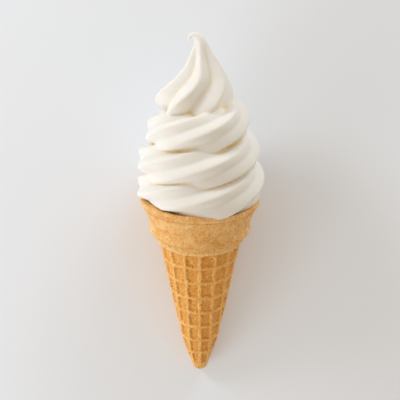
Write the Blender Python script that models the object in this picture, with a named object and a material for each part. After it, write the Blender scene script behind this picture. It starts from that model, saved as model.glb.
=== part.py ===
"""Soft-serve ice cream piped into a moulded wafer cone, lying on its back.

Both pieces are modelled upright about the cone's axis: the front faces -Y, the peak is at +Z and
height 0 is a little below the cone's rim. One empty then lays them down, with the front facing up
and the peak towards +Y, on a small flat under the first coil and another under the cone's tip.
Lengths are in metres.
"""

import math

import bpy
from mathutils import Vector

MM = 0.001

# Wafer cone: a flared lip over a cup, a shoulder, a plain band and a long waffled taper
RIM_HEIGHT = 1.5 * MM
RIM_RADIUS = 28.9 * MM
WALL = 2.3 * MM
RIM_WALL = 1.9 * MM
CUP = [  # outer radius and height of the cup, from under the rim down to the band
    (27.9 * MM, -1.0 * MM),
    (26.3 * MM, -5.0 * MM),
    (24.9 * MM, -9.5 * MM),
    (24.4 * MM, -11.6 * MM),
    (24.8 * MM, -13.6 * MM),
    (24.3 * MM, -15.6 * MM),
    (22.9 * MM, -17.0 * MM),
    (21.3 * MM, -17.8 * MM),
]
BAND_RADIUS = 21.1 * MM
BAND_BOTTOM = -20.5 * MM
TAPER_TOP = -21.0 * MM
TAPER_RADIUS = 20.2 * MM
TAPER_SLOPE = 0.197
KNEE_HEIGHT = -75.4 * MM
KNEE_SLOPE = 0.292
TIP_CENTRE = -91.5 * MM
TIP_RADIUS = 4.2 * MM
TIP_SPREAD = math.radians(80.0)
TIP_RINGS = 3
BAND_INSIDE_TOP = -17.0 * MM
TAPER_INSET = 0.4 * MM
RIM_EDGE = 0.5 * MM
RIM_INSIDE_EDGE = 0.4 * MM

# Waffle grid pressed into the taper
RIBS_AROUND = 14
COLUMNS_PER_RIB = 3
RIBS_ALONG = 7
FIRST_RIB = -28.3 * MM
RIB_PITCH = 9.0 * MM
RIB_WIDTH = 2.1 * MM
CELL_DEPTH = 0.9 * MM

# Strand of soft serve: a six-lobed rope laid in a rising, narrowing coil
LOBES = 6
LOBE_DEPTH = 0.2
CREST_SHARPNESS = 0.93
POINTS_AROUND = 8 * LOBES
STRAND_WIDE = 10.6 * MM
STRAND_HIGH = 10.1 * MM
COIL_PITCH = 13.46 * MM
PITCH_GROWTH = 0.33 * MM
COIL_RADIUS = 31.2 * MM
COIL_NARROWING = 15.1 * MM
NARROWING_SHAPE = 1.53
COIL_LEAN = 0.76 * MM
LEAN_BEARING = math.radians(276.0)
LEAN_TURNS = 2.0
COIL_SLOPE = 0.064
LOW_BEARING = math.radians(3.0)
COIL_BULGE = 2.8 * MM
BULGE_SPREAD = math.radians(75.0)
START_INSET = 5.0 * MM
START_EASED = math.radians(200.0)
LOBE_ROLL = math.radians(34.8)
ROLL_RATE = -2.95 / 360.0
ROLL_SWING = math.radians(12.7)
ROLL_BEARING = math.radians(71.0)
COIL_START = math.radians(20.0)
COIL_WIDEST = math.radians(360.0)
COIL_END = math.radians(1440.0)
COIL_STEP = math.radians(6.0)
COIL_HEIGHT = 12.4 * MM
START_LIFT = 0.22
LIFT_BEARING = math.radians(250.0)
SAG_BEARING = math.radians(300.0)
END_FADE = 0.55
END_EASE = math.radians(150.0)

# Peak: sideways place, height and radius down the middle of the strand as it is drawn off
PEAK = [
    (-1.0 * MM, 44.0 * MM, 12.0 * MM),
    (-1.0 * MM, 47.5 * MM, 16.3 * MM),
    (-1.0 * MM, 51.0 * MM, 17.4 * MM),
    (-0.6 * MM, 54.5 * MM, 16.2 * MM),
    (0.5 * MM, 58.6 * MM, 13.6 * MM),
    (1.5 * MM, 63.1 * MM, 9.9 * MM),
    (1.4 * MM, 67.6 * MM, 6.8 * MM),
    (0.8 * MM, 72.1 * MM, 4.6 * MM),
    (-0.2 * MM, 75.7 * MM, 3.3 * MM),
    (-1.3 * MM, 77.5 * MM, 2.6 * MM),
    (-2.7 * MM, 78.3 * MM, 2.0 * MM),
    (-4.1 * MM, 78.0 * MM, 1.6 * MM),
    (-5.0 * MM, 76.9 * MM, 1.3 * MM),
]
PEAK_LOBE_DEPTH = 0.26
PEAK_PHASE = math.radians(14.0)
PEAK_TWIST = math.radians(55.0)
PEAK_TWIST_FOOT = 45.0 * MM
PEAK_TWIST_END = 61.0 * MM
PEAK_TWIST_SHAPE = 1.5
LOBE_LOSS = 0.7
LOBE_LOSS_FOOT = 66.0 * MM
LOBE_LOSS_RISE = 12.0 * MM
HOOK_FOOT = 68.0 * MM
HOOK_EASE = 5.0 * MM
CORE = [(24.0 * MM, 2.0 * MM), (19.0 * MM, 14.0 * MM), (15.0 * MM, 30.0 * MM), (9.0 * MM, 46.0 * MM)]

# Fits, facets and the lie of the whole
GAP = 0.3 * MM
PLUG_CLEARANCE = 0.6 * MM
FLAT_DEPTH = 1.1 * MM
VOXEL = 0.6 * MM
FACET_SHARE = 0.026
CUTTER_SIZE = 0.4
CUTTER_RADIUS = 60.0 * MM

CREAM = (0.86, 0.80, 0.68)
CREAM_ROUGHNESS = 0.45
WAFER = (0.66, 0.36, 0.12)
WAFER_ROUGHNESS = 0.7
SHARP_ANGLE = math.radians(35.0)
WIDEST_TILT = math.radians(45.0)
HALVINGS = 40


def clear_scene():
    """Remove every object that the start-up file holds."""
    for thing in list(bpy.data.objects):
        bpy.data.objects.remove(thing, do_unlink=True)


def smoothstep(value):
    """Ease from 0 to 1 as value goes from 0 to 1."""
    value = min(max(value, 0.0), 1.0)
    return value * value * (3.0 - 2.0 * value)


def finish(name, colour, roughness):
    """Make a plain, non-metallic material."""
    material = bpy.data.materials.new(name)
    material.use_nodes = True
    shader = material.node_tree.nodes["Principled BSDF"]
    shader.inputs["Base Color"].default_value = (*colour, 1.0)
    shader.inputs["Roughness"].default_value = roughness
    shader.inputs["Metallic"].default_value = 0.0
    return material


def new_object(name, vertices, faces):
    """Link an object made of the given vertices and faces."""
    mesh = bpy.data.meshes.new(name)
    mesh.from_pydata(vertices, [], faces)
    mesh.update()
    thing = bpy.data.objects.new(name, mesh)
    bpy.context.scene.collection.objects.link(thing)
    return thing


def ring(radius, height, count):
    """Return a level circle of points about the cone's axis."""
    return [
        (radius * math.cos(turn), radius * math.sin(turn), height)
        for turn in (math.tau * step / count - math.pi / 2 for step in range(count))
    ]


def skin(rings, vertices, faces):
    """Add a tube through rings of equal count, with a flat lid on both ends."""
    first = len(vertices)
    count = len(rings[0])
    for points in rings:
        vertices.extend(tuple(point) for point in points)
    for row in range(len(rings) - 1):
        for column in range(count):
            beside = (column + 1) % count
            low = first + row * count
            faces.append((low + column, low + beside, low + count + beside, low + count + column))
    last = len(vertices) - count
    faces.append(tuple(first + column for column in reversed(range(count))))
    faces.append(tuple(last + column for column in range(count)))


def taper_radius(height):
    """Outer radius over the ribs on the waffled taper, which turns in faster below the knee."""
    beyond = max(KNEE_HEIGHT - height, 0.0)
    return TAPER_RADIUS + TAPER_SLOPE * (height - TAPER_TOP) - (KNEE_SLOPE - TAPER_SLOPE) * beyond


def tip_ring_sizes(radius, steps):
    """Radii and heights of a round end of the given radius, from its side to near its pole."""
    sizes = []
    for step in range(steps):
        angle = TIP_SPREAD * (step + 0.6) / steps
        sizes.append((radius * math.cos(angle), TIP_CENTRE - radius * math.sin(angle)))
    return sizes


def waffle_rings():
    """Rings of the waffled taper from its last rib up to its first, and up to the band.

    Each rib around the cone is a crest between two foot lines. The cell floors lie between
    them, so one column in three stays at full radius on the rows that cross the cells.
    """
    columns = RIBS_AROUND * COLUMNS_PER_RIB
    crest_angle = math.tau / RIBS_AROUND
    rows = []
    for index in reversed(range(RIBS_ALONG)):
        crest = FIRST_RIB - index * RIB_PITCH
        rows.append((crest - RIB_WIDTH / 2, CELL_DEPTH))
        rows.append((crest, 0.0))
        rows.append((crest + RIB_WIDTH / 2, CELL_DEPTH))
    rows.append((TAPER_TOP - RIB_WIDTH / 2, CELL_DEPTH))
    rows.append((TAPER_TOP, 0.0))
    rings = []
    for height, depth in rows:
        radius = taper_radius(height)
        foot_angle = RIB_WIDTH / 2 / radius
        points = []
        for column in range(columns):
            place = (column // COLUMNS_PER_RIB) * crest_angle
            kind = column % COLUMNS_PER_RIB
            turn = place + (0.0, foot_angle, crest_angle - foot_angle)[kind] - math.pi / 2
            reach = radius - (depth if kind else 0.0)
            points.append((reach * math.cos(turn), reach * math.sin(turn), height))
        rings.append(points)
    return rings


def inner_profile():
    """Radii and heights of the wafer's inner face, from its lowest ring up to the rim."""
    sizes = list(reversed(tip_ring_sizes(TIP_RADIUS - WALL, TIP_RINGS - 1)))
    sizes.append((taper_radius(TAPER_TOP) - WALL - TAPER_INSET, TAPER_TOP))
    sizes.append((BAND_RADIUS - WALL, BAND_INSIDE_TOP))
    for radius, height in reversed(CUP[:5]):
        sizes.append((radius - WALL, height))
    sizes.append((RIM_RADIUS - RIM_WALL, RIM_HEIGHT - RIM_INSIDE_EDGE))
    return sizes


def build_wafer_cone():
    """Build the cone as one closed skin: up the outside, over the rim and down the inside."""
    columns = RIBS_AROUND * COLUMNS_PER_RIB
    rings = [ring(*size, columns) for size in reversed(tip_ring_sizes(TIP_RADIUS, TIP_RINGS))]
    rings += waffle_rings()
    outside = [(BAND_RADIUS, BAND_BOTTOM)] + list(reversed(CUP))
    outside += [(RIM_RADIUS, RIM_HEIGHT - RIM_EDGE), (RIM_RADIUS - RIM_EDGE, RIM_HEIGHT)]
    outside += [(RIM_RADIUS - RIM_WALL + RIM_INSIDE_EDGE, RIM_HEIGHT)]
    rings += [ring(*size, columns) for size in outside]
    rings += [ring(*size, columns) for size in reversed(inner_profile())]
    vertices = []
    faces = []
    skin(rings, vertices, faces)
    return new_object("wafer_cone", vertices, faces)


def coil_reach(turn):
    """Distance from the axis to the strand's outer side.

    The first half turn starts inside the wafer, and the first coil bulges where it is laid on.
    """
    risen = max(turn - COIL_WIDEST, 0.0)
    narrowed = COIL_NARROWING * (risen / (COIL_END - COIL_WIDEST)) ** NARROWING_SHAPE
    lean = COIL_LEAN * min(risen / math.tau, LEAN_TURNS) * math.cos(turn - LEAN_BEARING)
    start = 1.0 - smoothstep((turn - COIL_START) / (START_EASED - COIL_START))
    bulge = 1.0 - smoothstep(abs(turn - COIL_WIDEST - math.pi / 2) / BULGE_SPREAD)
    return COIL_RADIUS - narrowed + lean - START_INSET * start + COIL_BULGE * bulge


def coil_centre(turn):
    """Radius and height of the strand's middle. The coils lean down on the side they are laid to."""
    radius = coil_reach(turn) - STRAND_WIDE
    coils = (turn - COIL_WIDEST) / math.tau
    height = COIL_HEIGHT + COIL_PITCH * coils + PITCH_GROWTH * max(coils, 0.0) ** 2
    return radius, height - COIL_SLOPE * radius * math.cos(turn - LOW_BEARING)


def star(angle, depth):
    """Radius factor of the nozzle's star, 1 on a lobe's crest, with nearly flat flanks."""
    wave = math.asin(CREST_SHARPNESS * math.cos(LOBES * angle)) / math.asin(CREST_SHARPNESS)
    return 1.0 - depth * (0.5 - 0.5 * wave)


def strand_rings():
    """Rings of the laid strand, each in the upright plane through the axis.

    The nozzle never turns, so the lobes roll about once round the strand for each turn of the
    coil. The underside of the first stretch is lifted, where it starts inside the wafer.
    """
    stations = int((COIL_END - COIL_START) / COIL_STEP)
    rings = []
    for station in range(stations + 1):
        turn = COIL_START + (COIL_END - COIL_START) * station / stations
        radius, height = coil_centre(turn)
        roll = LOBE_ROLL + ROLL_RATE * (turn - COIL_WIDEST) + ROLL_SWING * math.cos(turn - ROLL_BEARING)
        sagged = smoothstep((turn - LIFT_BEARING) / (SAG_BEARING - LIFT_BEARING))
        underside = 1.0 - START_LIFT * (1.0 - sagged)
        fade = 1.0 - END_FADE * smoothstep((turn - COIL_END) / END_EASE + 1.0)
        points = []
        for step in range(POINTS_AROUND):
            angle = math.tau * step / POINTS_AROUND
            reach = fade * star(angle - turn + roll, LOBE_DEPTH)
            rise = STRAND_HIGH * reach * math.sin(angle)
            out = radius + STRAND_WIDE * reach * math.cos(angle)
            rise *= underside if rise < 0.0 else 1.0
            points.append(Vector((out * math.cos(turn), out * math.sin(turn), height + rise)))
        rings.append(points)
    return rings


def through(points, steps):
    """Return points along a smooth curve that passes through each given point."""
    fine = []
    last = len(points) - 1
    for index in range(last):
        before, start = Vector(points[max(index - 1, 0)]), Vector(points[index])
        end, after = Vector(points[index + 1]), Vector(points[min(index + 2, last)])
        for step in range(steps):
            u = step / steps
            fine.append(0.5 * (2 * start + (end - before) * u
                               + (2 * before - 5 * start + 4 * end - after) * u ** 2
                               + (3 * start - before - 3 * end + after) * u ** 3))
    fine.append(Vector(points[last]))
    return fine


def peak_rings():
    """Rings of the drawn-off peak, level in the body and square to the path in the hook."""
    path = through(PEAK, 5)
    hook_end = HOOK_FOOT + HOOK_EASE
    rings = []
    for index, (side, height, radius) in enumerate(path):
        before, after = path[max(index - 1, 0)], path[min(index + 1, len(path) - 1)]
        along = Vector((after.x - before.x, 0.0, after.y - before.y)).normalized()
        lean = smoothstep((height - HOOK_FOOT) / HOOK_EASE)
        axis = Vector((0.0, 0.0, 1.0)).lerp(along, lean) if height < hook_end else along
        roll = Vector((0.0, 0.0, 1.0)).rotation_difference(axis.normalized())
        unwound = max(PEAK_TWIST_END - height, 0.0) / (PEAK_TWIST_END - PEAK_TWIST_FOOT)
        phase = PEAK_PHASE - PEAK_TWIST * unwound ** PEAK_TWIST_SHAPE
        lost = LOBE_LOSS * smoothstep((height - LOBE_LOSS_FOOT) / LOBE_LOSS_RISE)
        depth = PEAK_LOBE_DEPTH * (1.0 - lost)
        centre = Vector((side, 0.0, height))
        points = []
        for step in range(POINTS_AROUND):
            angle = math.tau * step / POINTS_AROUND
            reach = radius * star(angle - phase, depth)
            points.append(centre + roll @ Vector((reach * math.cos(angle), reach * math.sin(angle), 0.0)))
        rings.append(points)
    return rings


def plug_rings():
    """Rings of the ice cream that fills the cone and the middle of the coils."""
    sizes = [(radius - PLUG_CLEARANCE, height) for radius, height in inner_profile()[1:]]
    return [ring(radius, height, POINTS_AROUND) for radius, height in sizes + CORE]


def build_soft_serve():
    """Build the swirl and the filling as one body."""
    vertices = []
    faces = []
    skin(strand_rings(), vertices, faces)
    skin(peak_rings(), vertices, faces)
    skin(plug_rings(), vertices, faces)
    swirl = new_object("soft_serve", vertices, faces)
    merge = swirl.modifiers.new("one body", "REMESH")
    merge.mode = "VOXEL"
    merge.voxel_size = VOXEL
    merge.use_smooth_shade = True
    facets = swirl.modifiers.new("fewer facets", "DECIMATE")
    facets.ratio = FACET_SHARE
    return swirl


def make_cutter(thing):
    """Mark an object as a cutter, which is not part of the model."""
    thing.hide_render = True
    thing.display_type = "WIRE"
    return thing


def build_rim_cutter():
    """Build the ring that keeps the swirl inside the wafer and off its rim."""
    rise = RIM_HEIGHT + GAP
    section = [(radius - GAP, height) for radius, height in inner_profile()[3:]]
    section += [(section[-1][0], rise), (CUTTER_RADIUS, rise), (CUTTER_RADIUS, section[0][1])]
    vertices = []
    faces = []
    for radius, height in section:
        vertices.extend(ring(radius, height, POINTS_AROUND))
    for row in range(len(section)):
        low, high = row * POINTS_AROUND, (row + 1) % len(section) * POINTS_AROUND
        for column in range(POINTS_AROUND):
            beside = (column + 1) % POINTS_AROUND
            faces.append((low + column, high + column, high + beside, low + beside))
    return make_cutter(new_object("rim_cutter", vertices, faces))


def build_floor_cutter():
    """Build the block below the surface that the cone lies on."""
    half = CUTTER_SIZE / 2
    corners = [(x * half, y * half, z * half - half) for z in (-1, 1) for y in (-1, 1) for x in (-1, 1)]
    sides = [(0, 2, 3, 1), (4, 5, 7, 6), (0, 1, 5, 4), (2, 6, 7, 3), (0, 4, 6, 2), (1, 3, 7, 5)]
    return make_cutter(new_object("floor_cutter", corners, sides))


def cut(thing, cutter):
    """Take a cutter's shape out of an object."""
    boolean = thing.modifiers.new("cut", "BOOLEAN")
    boolean.operation = "DIFFERENCE"
    boolean.solver = "EXACT"
    boolean.object = cutter


def depth_below(points, tilt):
    """Distance from the axis' datum down to the lowest of the points at a slope of the axis."""
    return max(point[1] * math.cos(tilt) - point[2] * math.sin(tilt) for point in points)


def lying_tilt(coil, taper):
    """Slope of the axis at which the coil and the taper are equally low, by halving."""
    low, high = 0.0, WIDEST_TILT
    for _ in range(HALVINGS):
        middle = (low + high) / 2
        if depth_below(taper, middle) < depth_below(coil, middle):
            low = middle
        else:
            high = middle
    return (low + high) / 2


def lay_down(pieces):
    """Parent the pieces to an empty that lays them on the floor at height 0."""
    coil = [point for points in strand_rings() for point in points]
    taper = [point for points in waffle_rings()[:3 * RIBS_ALONG] for point in points]
    tilt = lying_tilt(coil, taper)
    stand = bpy.data.objects.new("lie", None)
    bpy.context.scene.collection.objects.link(stand)
    stand.rotation_euler = (tilt - math.pi / 2, 0.0, 0.0)
    stand.location.z = depth_below(taper, tilt) - FLAT_DEPTH
    for piece in pieces:
        piece.parent = stand
    return stand


def centre_on_floor(stand, pieces):
    """Move the whole level so that its bounding box is centred on the origin."""
    bpy.context.view_layer.update()
    graph = bpy.context.evaluated_depsgraph_get()
    points = []
    for piece in pieces:
        shape = piece.evaluated_get(graph)
        points.extend(shape.matrix_world @ vertex.co for vertex in shape.data.vertices)
    for axis in range(2):
        values = [point[axis] for point in points]
        stand.location[axis] -= (min(values) + max(values)) / 2


def main():
    """Build both pieces, lay them down and cut the clearances and the resting flats."""
    clear_scene()
    cone = build_wafer_cone()
    swirl = build_soft_serve()
    cone.data.materials.append(finish("baked wafer", WAFER, WAFER_ROUGHNESS))
    swirl.data.materials.append(finish("vanilla soft serve", CREAM, CREAM_ROUGHNESS))
    cone.data.shade_smooth()
    cone.data.set_sharp_from_angle(angle=SHARP_ANGLE)
    rim_cutter = build_rim_cutter()
    stand = lay_down([cone, swirl, rim_cutter])
    floor_cutter = build_floor_cutter()
    cut(swirl, rim_cutter)
    cut(swirl, floor_cutter)
    cut(cone, floor_cutter)
    centre_on_floor(stand, [cone, swirl])


main()
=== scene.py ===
"""Looks of a vanilla soft serve in a moulded wafer cone, lying on its back on a pale floor.

Both pieces are shaped upright about the cone's axis, with the front at -Y, the peak at +Z and
height 0 a little below the rim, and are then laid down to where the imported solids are.
"""

import logging
import math
from dataclasses import dataclass, field
from enum import Enum
from typing import Any, Iterable, Sequence

import bpy
import numpy as np
from mathutils import Matrix, Vector


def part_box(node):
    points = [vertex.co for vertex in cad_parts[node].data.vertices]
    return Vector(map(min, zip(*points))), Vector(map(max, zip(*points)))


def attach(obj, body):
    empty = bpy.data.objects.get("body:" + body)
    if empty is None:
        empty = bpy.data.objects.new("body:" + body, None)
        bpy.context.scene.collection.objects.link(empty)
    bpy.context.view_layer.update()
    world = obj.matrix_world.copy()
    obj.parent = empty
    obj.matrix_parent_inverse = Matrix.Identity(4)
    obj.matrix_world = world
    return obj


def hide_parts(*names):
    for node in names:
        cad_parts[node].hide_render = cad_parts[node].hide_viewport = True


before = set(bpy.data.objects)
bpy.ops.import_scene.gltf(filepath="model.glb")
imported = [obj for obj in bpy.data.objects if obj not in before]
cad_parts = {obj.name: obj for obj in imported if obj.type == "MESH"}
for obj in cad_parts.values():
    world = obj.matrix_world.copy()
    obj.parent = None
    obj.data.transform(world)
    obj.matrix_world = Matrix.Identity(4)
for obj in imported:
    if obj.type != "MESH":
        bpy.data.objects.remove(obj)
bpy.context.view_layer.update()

LOG = logging.getLogger("soft_serve_cone")
MM = 0.001
BODY = "root"

Point = tuple[float, float]
Colour = tuple[float, float, float, float]


class Slot(Enum):
    """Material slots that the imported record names."""

    ICE_CREAM = "ice_cream"
    WAFER = "wafer"


class Node(Enum):
    """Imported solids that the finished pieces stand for."""

    SOFT_SERVE = "soft_serve"
    WAFER_CONE = "wafer_cone"


def linear(code: str) -> Colour:
    """Turn an sRGB hex colour into linear light.

    Args:
        code: colour such as "#E6B87A".

    Returns:
        Red, green and blue in linear light, and full opacity.
    """
    values = [int(code[place:place + 2], 16) / 255.0 for place in (1, 3, 5)]
    # The sRGB curve has a straight foot, and is a power above it
    red, green, blue = (v / 12.92 if v <= 0.04045 else ((v + 0.055) / 1.055) ** 2.4 for v in values)
    return (red, green, blue, 1.0)


def add_node(tree: bpy.types.NodeTree, kind: str, inputs: dict[Any, Any] | None = None,
             **settings: Any) -> bpy.types.Node:
    """Add a node, set its options and fill or join its inputs.

    Args:
        tree: node tree that gets the node.
        kind: type of the node.
        inputs: a value or another node's output for each input, by name or number.
        settings: the node's own options.

    Returns:
        The new node.
    """
    node = tree.nodes.new(kind)
    for name, value in settings.items():
        setattr(node, name, value)
    for name, value in (inputs or {}).items():
        if isinstance(value, bpy.types.NodeSocket):
            tree.links.new(value, node.inputs[name])
        else:
            node.inputs[name].default_value = value
    return node


@dataclass(frozen=True)
class Term:
    """A number worked out by a node tree, which can be used in sums like a plain number."""

    tree: bpy.types.NodeTree
    socket: bpy.types.NodeSocket

    def sum(self, operation: str, *others: "Term | float", swap: bool = False) -> "Term":
        """Combine this number with others.

        Args:
            operation: Blender's name for the sum.
            others: further numbers of the sum.
            swap: whether this number comes second.

        Returns:
            The result.
        """
        values = [self.socket] + [o.socket if isinstance(o, Term) else o for o in others]
        if swap:
            values.reverse()
        node = add_node(self.tree, "ShaderNodeMath", dict(enumerate(values)), operation=operation)
        return Term(self.tree, node.outputs[0])

    def __add__(self, other: "Term | float") -> "Term":
        """Add."""
        return self.sum("ADD", other)

    def __radd__(self, other: float) -> "Term":
        """Add to a plain number."""
        return self.sum("ADD", other)

    def __sub__(self, other: "Term | float") -> "Term":
        """Subtract."""
        return self.sum("SUBTRACT", other)

    def __rsub__(self, other: float) -> "Term":
        """Subtract from a plain number."""
        return self.sum("SUBTRACT", other, swap=True)

    def __mul__(self, other: "Term | float") -> "Term":
        """Multiply."""
        return self.sum("MULTIPLY", other)

    def __rmul__(self, other: float) -> "Term":
        """Multiply a plain number."""
        return self.sum("MULTIPLY", other)

    def __truediv__(self, other: "Term | float") -> "Term":
        """Divide."""
        return self.sum("DIVIDE", other)

    def __rtruediv__(self, other: float) -> "Term":
        """Divide a plain number."""
        return self.sum("DIVIDE", other, swap=True)

    def __pow__(self, other: "Term | float") -> "Term":
        """Raise to a power."""
        return self.sum("POWER", other)

    def eased(self, start: "Term | float", end: "Term | float") -> "Term":
        """Ease from 0 at start to 1 at end.

        Args:
            start: value at which the result is 0.
            end: value at which the result is 1.

        Returns:
            A number from 0 to 1.
        """
        share = ((self - start) / (end - start)).sum("MINIMUM", 1.0).sum("MAXIMUM", 0.0)
        return share * share * (3.0 - 2.0 * share)

    def hump(self, begin: float, full: float, last: float, gone: float) -> "Term":
        """Ease from 0 at begin to 1 at full, and from 1 at last back to 0 at gone."""
        return self.eased(begin, full) * (1.0 - self.eased(last, gone))


@dataclass
class ShapeTree:
    """A Geometry Nodes tree under construction, with its named inputs."""

    name: str
    tree: bpy.types.NodeTree = field(init=False)
    entry: bpy.types.Node = field(init=False)
    sizes: dict[str, float] = field(default_factory=dict)

    def __post_init__(self) -> None:
        """Start the tree with a mesh going in and a mesh coming out."""
        self.tree = bpy.data.node_groups.new(self.name, "GeometryNodeTree")
        self.tree.interface.new_socket("Geometry", in_out="INPUT", socket_type="NodeSocketGeometry")
        self.tree.interface.new_socket("Geometry", in_out="OUTPUT", socket_type="NodeSocketGeometry")
        self.entry = self.tree.nodes.new("NodeGroupInput")

    def size(self, name: str, value: float) -> Term:
        """Add a named input and return the number that it brings in.

        Args:
            name: what the input says to its user.
            value: the size to use.

        Returns:
            The input as a term.
        """
        self.tree.interface.new_socket(name, in_out="INPUT", socket_type="NodeSocketFloat")
        self.sizes[name] = value
        return Term(self.tree, self.entry.outputs[name])

    def add(self, kind: str, inputs: dict[Any, Any] | None = None, **settings: Any) -> bpy.types.Node:
        """Add a node to this tree, with terms allowed as inputs."""
        plain = {k: v.socket if isinstance(v, Term) else v for k, v in (inputs or {}).items()}
        return add_node(self.tree, kind, plain, **settings)

    def term(self, socket: bpy.types.NodeSocket) -> Term:
        """Wrap an output as a term."""
        return Term(self.tree, socket)

    def finish(self, geometry: bpy.types.NodeSocket, material: bpy.types.Material) -> None:
        """End the tree in real, dressed mesh.

        Args:
            geometry: the finished shape.
            material: what it is made of.
        """
        real = self.add("GeometryNodeRealizeInstances", {0: geometry})
        dressed = self.add("GeometryNodeSetMaterial", {"Geometry": real.outputs[0], "Material": material})
        self.add("NodeGroupOutput", {0: dressed.outputs[0]})

    def run(self, name: str, start: bpy.types.Mesh | None = None) -> bpy.types.Mesh:
        """Make a plain mesh with the tree.

        Args:
            name: name for the mesh.
            start: mesh that goes into the tree, if it needs one.

        Returns:
            The evaluated mesh.
        """
        holder = linked(name, start or bpy.data.meshes.new(name))
        modifier = holder.modifiers.new(self.name, "NODES")
        modifier.node_group = self.tree
        for item in self.tree.interface.items_tree:
            if item.item_type == "SOCKET" and item.in_out == "INPUT" and item.name in self.sizes:
                modifier[item.identifier] = self.sizes[item.name]
        mesh = evaluated_mesh(holder)
        mesh.name = name
        bpy.data.objects.remove(holder)
        return mesh


def linked(name: str, data: bpy.types.ID) -> bpy.types.Object:
    """Make an object and link it to the scene.

    Args:
        name: name for the object.
        data: the mesh, light or camera that it holds.

    Returns:
        The object, at the origin.
    """
    thing = bpy.data.objects.new(name, data)
    bpy.context.scene.collection.objects.link(thing)
    return thing


def evaluated_mesh(thing: bpy.types.Object) -> bpy.types.Mesh:
    """Make a plain mesh of an object as its modifiers leave it.

    Args:
        thing: object with modifiers, linked to the scene.

    Returns:
        The evaluated mesh.
    """
    bpy.context.view_layer.update()
    graph = bpy.context.evaluated_depsgraph_get()
    return bpy.data.meshes.new_from_object(thing.evaluated_get(graph), depsgraph=graph)


def remeshed(mesh: bpy.types.Mesh, voxel: float) -> bpy.types.Mesh:
    """Melt a mesh's overlapping parts into one skin.

    Args:
        mesh: closed parts, which are left as they are.
        voxel: size of the skin's faces.

    Returns:
        The skin.
    """
    holder = linked(mesh.name, mesh)
    modifier = holder.modifiers.new("skin", "REMESH")
    modifier.mode = "VOXEL"
    modifier.voxel_size = voxel
    result = evaluated_mesh(holder)
    bpy.data.objects.remove(holder)
    return result


def mesh_from(name: str, points: np.ndarray, faces: Sequence[Sequence[int]]) -> bpy.types.Mesh:
    """Make a mesh from points and faces.

    Args:
        name: name for the mesh.
        points: one row of x, y and z for each vertex.
        faces: vertex numbers of each face.

    Returns:
        The mesh.
    """
    mesh = bpy.data.meshes.new(name)
    mesh.from_pydata([tuple(p) for p in points.tolist()], [], list(faces))
    mesh.update()
    return mesh


def points_of(mesh: bpy.types.Mesh) -> np.ndarray:
    """Read a mesh's points.

    Args:
        mesh: mesh to read.

    Returns:
        One row of x, y and z for each point.
    """
    values = np.empty(len(mesh.vertices) * 3)
    mesh.vertices.foreach_get("co", values)
    return values.reshape(-1, 3)


def normals_of(mesh: bpy.types.Mesh) -> np.ndarray:
    """Read the normals at a mesh's points.

    Args:
        mesh: mesh to read.

    Returns:
        One row of x, y and z for each point.
    """
    values = np.empty(len(mesh.vertices) * 3)
    mesh.vertex_normals.foreach_get("vector", values)
    return values.reshape(-1, 3)


def set_points(mesh: bpy.types.Mesh, points: np.ndarray) -> None:
    """Move a mesh's points."""
    mesh.vertices.foreach_set("co", np.ascontiguousarray(points).ravel())
    mesh.update()


def store(mesh: bpy.types.Mesh, name: str, values: np.ndarray) -> None:
    """Store a number for each point, which materials can read by name."""
    attribute = mesh.attributes.get(name) or mesh.attributes.new(name, "FLOAT", "POINT")
    attribute.data.foreach_set("value", values.astype(np.float32))


def neighbour_mean(mesh: bpy.types.Mesh, values: np.ndarray, rounds: int) -> np.ndarray:
    """Average values over neighbouring points, again and again.

    Args:
        mesh: mesh whose edges join the neighbours.
        values: one row for each point.
        rounds: how many times to average.

    Returns:
        The averaged rows.
    """
    ends = np.empty(len(mesh.edges) * 2, dtype=np.int64)
    mesh.edges.foreach_get("vertices", ends)
    one, two = ends[0::2], ends[1::2]
    total = len(mesh.vertices)
    count = np.bincount(one, minlength=total) + np.bincount(two, minlength=total)
    count = np.maximum(count, 1)[:, None]
    for _ in range(rounds):
        added = np.stack([np.bincount(one, weights=values[two, axis], minlength=total)
                          + np.bincount(two, weights=values[one, axis], minlength=total)
                          for axis in range(values.shape[1])], axis=1)
        values = 0.5 * values + 0.5 * added / count
    return values


def through(points: Sequence[Sequence[float]], steps: int) -> list[Vector]:
    """Return points along a smooth (Catmull-Rom) curve through the given points.

    Args:
        points: points that the curve passes through.
        steps: how many points to give for each stretch.

    Returns:
        The points along the curve, with both ends.
    """
    fine = []
    last = len(points) - 1
    for index in range(last):
        before, start = Vector(points[max(index - 1, 0)]), Vector(points[index])
        end, after = Vector(points[index + 1]), Vector(points[min(index + 2, last)])
        for step in range(steps):
            u = step / steps
            fine.append(0.5 * (2 * start + (end - before) * u
                               + (2 * before - 5 * start + 4 * end - after) * u ** 2
                               + (3 * start - before - 3 * end + after) * u ** 3))
    fine.append(Vector(points[last]))
    return fine


def evenly(points: Sequence[Vector], spacing: float) -> list[Vector]:
    """Return points at an even spacing along a chain of points.

    Args:
        points: the chain.
        spacing: distance between the points, about.

    Returns:
        The evenly spaced points, with both ends.
    """
    lengths = [0.0]
    for before, after in zip(points, points[1:]):
        lengths.append(lengths[-1] + (after - before).length)
    count = max(int(round(lengths[-1] / spacing)), 1)
    places = [lengths[-1] * step / count for step in range(count + 1)]
    columns = [np.interp(places, lengths, [p[axis] for p in points]) for axis in range(len(points[0]))]
    return [Vector(values) for values in zip(*columns)]


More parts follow.
